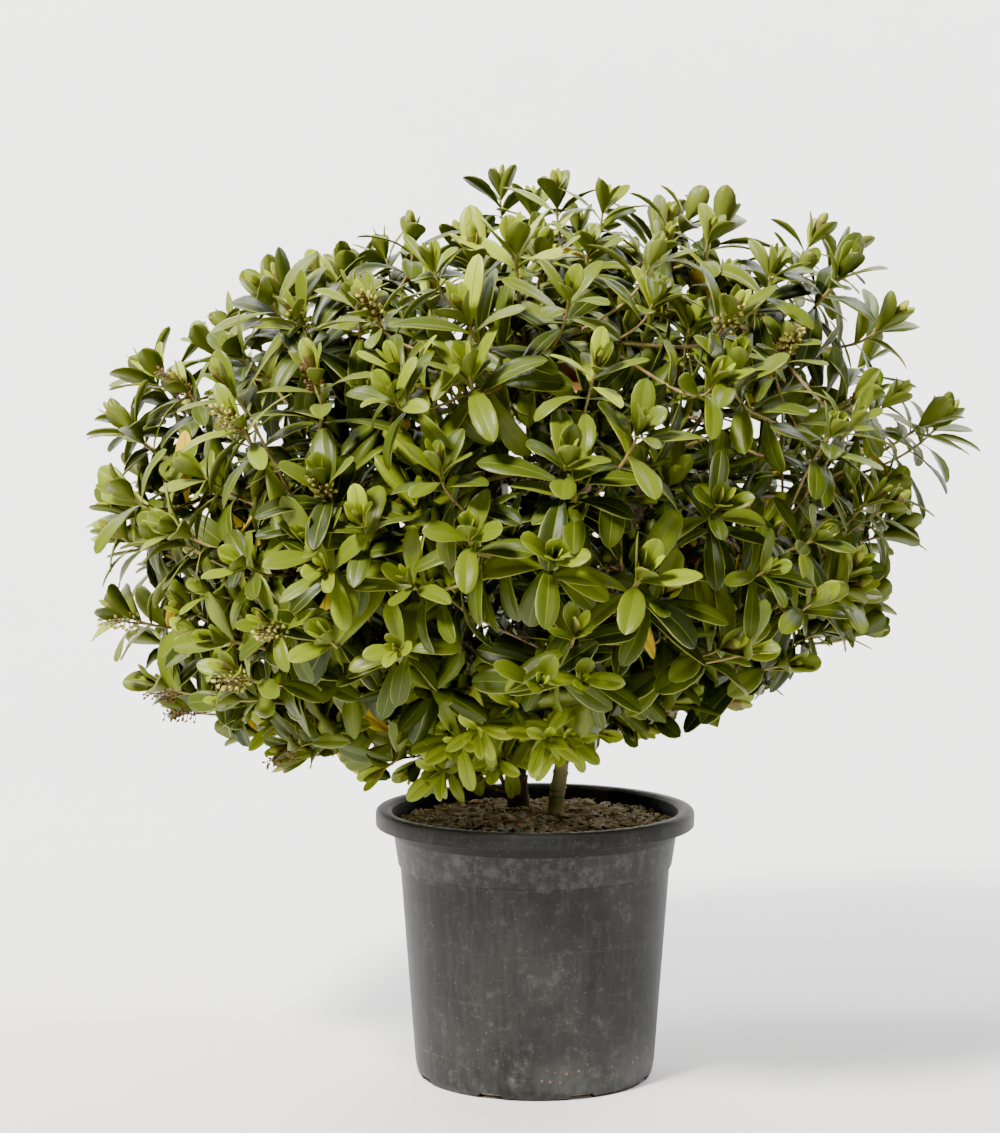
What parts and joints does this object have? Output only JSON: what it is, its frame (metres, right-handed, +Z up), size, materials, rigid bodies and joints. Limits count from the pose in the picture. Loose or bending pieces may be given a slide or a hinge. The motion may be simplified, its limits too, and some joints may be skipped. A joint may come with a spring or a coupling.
{
  "type": "potted hebe shrub",
  "caption": "Evergreen shrub with a rounded crown of narrow glossy leaves on forked woody stems, standing in a round plastic nursery pot.",
  "frame": {"origin": "centre of the pot's flat underside", "axes": "+Z up the plant, +X to the right and -Y towards the viewer, as the plant shows its two bare stems"},
  "size_m": [0.8304, 0.8028, 0.8735],
  "materials": {
    "pot": "black moulded plastic, scuffed and dusty",
    "potting_mix": "coarse bark mix, dry on top",
    "bark": "grey-brown bark with ring scars",
    "foliage": "glossy yellow-green leaves"
  },
  "bodies": {
    "root": {"bough_back": "bark", "bough_back_left": "bark", "bough_back_right": "bark", "bough_front_left": "bark", "bough_front_right": "bark", "bough_front_top": "bark", "bough_left": "bark", "bough_left_low": "bark", "bough_right": "bark", "bough_right_low": "bark", "bough_right_top": "bark", "limb_left": "bark", "limb_middle": "bark", "mass_lower_back": "foliage", "mass_lower_back_right": "foliage", "mass_lower_front_left": "foliage", "mass_lower_front_right": "foliage", "mass_lower_left": "foliage", "mass_lower_right": "foliage", "mass_middle_back": "foliage", "mass_middle_back_left": "foliage", "mass_middle_back_right": "foliage", "mass_middle_front": "foliage", "mass_middle_front_left": "foliage", "mass_middle_front_right": "foliage", "mass_middle_left": "foliage", "mass_middle_right": "foliage", "mass_skirt_left": "foliage", "mass_skirt_right": "foliage", "mass_sprout_left": "foliage", "mass_sprout_right": "foliage", "mass_top": "foliage", "mass_upper_back_left": "foliage", "mass_upper_back_right": "foliage", "mass_upper_front": "foliage", "mass_upper_left": "foliage", "mass_upper_right": "foliage", "pot": "pot", "potting_mix": "potting_mix", "stem_dark": "bark", "stem_light": "bark"}
  },
  "joints": []
}
